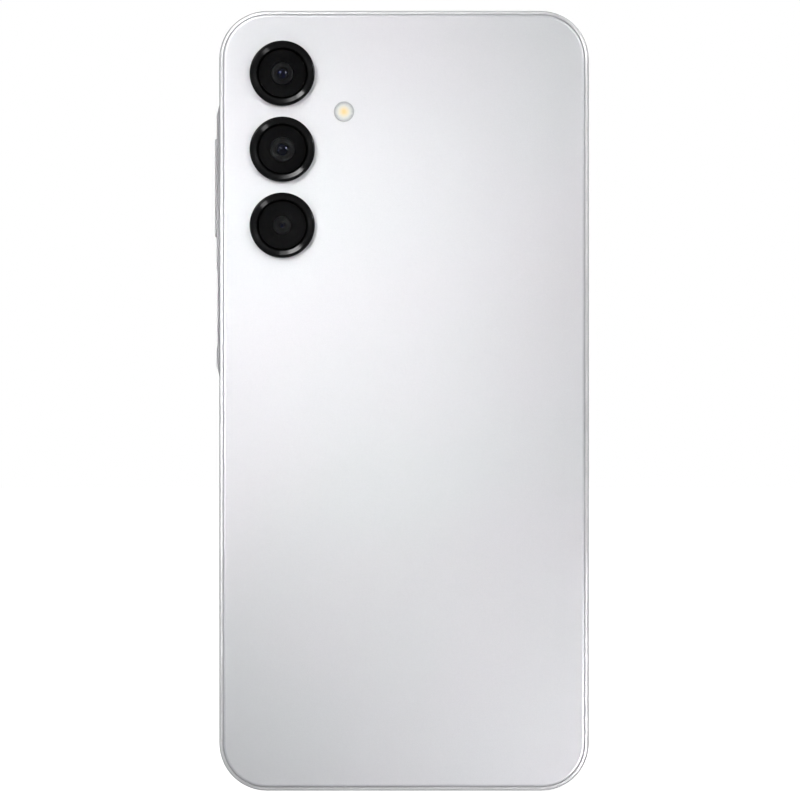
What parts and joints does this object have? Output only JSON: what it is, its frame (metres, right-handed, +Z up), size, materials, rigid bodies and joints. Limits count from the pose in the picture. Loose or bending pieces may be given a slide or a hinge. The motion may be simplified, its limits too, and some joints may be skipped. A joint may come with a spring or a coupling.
{
  "type": "smartphone",
  "caption": "Bar-shaped smartphone with a column of separate rear camera rings, side keys on a raised rim, an eject tray and a full-face screen.",
  "frame": {"origin": "centre of the flat bottom edge face", "axes": "+Z up along the phone's height, -Y the way the rear cover and cameras face, +Y the way the screen faces, keys on the -X side and card tray on the +X side"},
  "size_m": [0.0788, 0.0093, 0.1644],
  "materials": {
    "frame_silver": "satin silver-white paint under a clear coat",
    "cover_pearl": "silver-white pearl under a glossy clear coat",
    "tape": "black foam adhesive",
    "plate_alloy": "bead-blasted die casting",
    "screen_glass": "polished, black-bordered",
    "panel": "black display panel",
    "foil": "graphite and copper sheet",
    "flex": "black-brown polyimide",
    "ring_metal": "polished black anodised",
    "camera_glass": "black-masked, coated",
    "foam": "foam",
    "camera_body": "black moulding",
    "lens_glass": "coated",
    "sensor": "silicon under cover glass",
    "flash_clear": "frosted diffuser",
    "led": "phosphor on a ceramic base",
    "steel": "stamped sheet",
    "mesh": "black woven wire",
    "key_metal": "anodised satin",
    "sensor_face": "coated",
    "tray_black": "glass-filled moulding",
    "seal": "silicone",
    "board": "solder mask",
    "chip": "moulded package",
    "connector": "moulded",
    "bracket_black": "fine spark-eroded texture",
    "copper": "bare copper",
    "cell": "wrapped pouch",
    "white_tape": "stretch-release strip",
    "cable": "black jacket",
    "gold": "plated",
    "port_black": "moulded",
    "rotor_metal": "sintered heavy metal"
  },
  "bodies": {
    "phone": {"side_frame": "frame_silver", "mid_plate": "plate_alloy", "rear_cover": "cover_pearl", "rear_cover_adhesive": "tape", "display_glass": "screen_glass", "display_adhesive": "tape", "display_panel": "panel", "display_foil": "foil", "display_flex": "flex", "camera_rings": "ring_metal", "camera_glasses": "camera_glass", "camera_gaskets": "foam", "main_camera_housing": "camera_body", "main_camera_sensor": "sensor", "wide_camera_module": "camera_body", "macro_camera_module": "camera_body", "fixed_camera_lenses": "lens_glass", "camera_flexes": "flex", "flash_lens": "flash_clear", "flash_led": "led", "front_camera_module": "camera_body", "front_camera_lens": "lens_glass", "earpiece_speaker": "steel", "earpiece_mesh": "mesh", "key_domes": "steel", "side_key_flex": "flex", "side_key_bracket": "steel", "sim_socket": "steel", "main_board": "board", "circuit_chips": "chip", "shield_cans": "steel", "board_connectors": "connector", "upper_bracket": "bracket_black", "contact_coil": "copper", "battery": "cell", "battery_guard": "flex", "battery_tapes": "white_tape", "main_flex": "flex", "sub_board": "board", "lower_bracket": "bracket_black", "antenna_cable": "cable", "cable_plugs": "gold", "usb_shell": "steel", "usb_tongue": "port_black", "speaker_enclosure": "bracket_black", "speaker_driver": "steel", "speaker_mesh": "mesh", "vibration_motor_case": "steel", "screws": "steel"},
    "volume_key": {"volume_key": "key_metal"},
    "power_key": {"power_key": "key_metal", "fingerprint_sensor": "sensor_face"},
    "sim_tray": {"sim_tray_head": "key_metal", "sim_tray_carrier": "tray_black", "sim_tray_seal": "seal"},
    "eject_rod": {"sim_eject_rod": "steel"},
    "eject_lever": {"sim_eject_lever": "steel"},
    "camera_barrel": {"main_camera_barrel": "camera_body", "main_camera_lens": "lens_glass"},
    "motor_rotor": {"vibration_motor_rotor": "rotor_metal"}
  },
  "joints": [
    {"name": "volume_rock", "type": "hinge", "parent": "phone", "child": "volume_key", "pos_m": [-0.03615, 0, 0.12715], "axis": [0, 1, 0], "range_deg": [-1.2, 1.2], "stiffness_Nm_per_rad": 0.56},
    {"name": "power_press", "type": "slide", "parent": "phone", "child": "power_key", "axis": [1, 0, 0], "range_m": [0, 0.0002], "stiffness_N_per_m": 2000, "springref_m": -0.0002},
    {"name": "tray_slide", "type": "slide", "parent": "phone", "child": "sim_tray", "axis": [1, 0, 0], "range_m": [0, 0.027]},
    {"name": "eject_push", "type": "slide", "parent": "phone", "child": "eject_rod", "axis": [-1, 0, 0], "range_m": [0, 0.0012]},
    {"name": "eject_turn", "type": "hinge", "parent": "phone", "child": "eject_lever", "pos_m": [0.01335, -0.0001, 0.13545], "axis": [0, -1, 0], "range_deg": [0, 18.95]},
    {"name": "autofocus", "type": "slide", "parent": "phone", "child": "camera_barrel", "axis": [0, -1, 0], "range_m": [0, 0.00025], "stiffness_N_per_m": 30},
    {"name": "motor_spin", "type": "hinge", "parent": "phone", "child": "motor_rotor", "pos_m": [0.025, 0, 0.0126], "axis": [0, 1, 0], "continuous": true}
  ],
  "couplings": [
    {"joint": "eject_turn", "follows": "eject_push", "rad_per_m": 275}
  ]
}
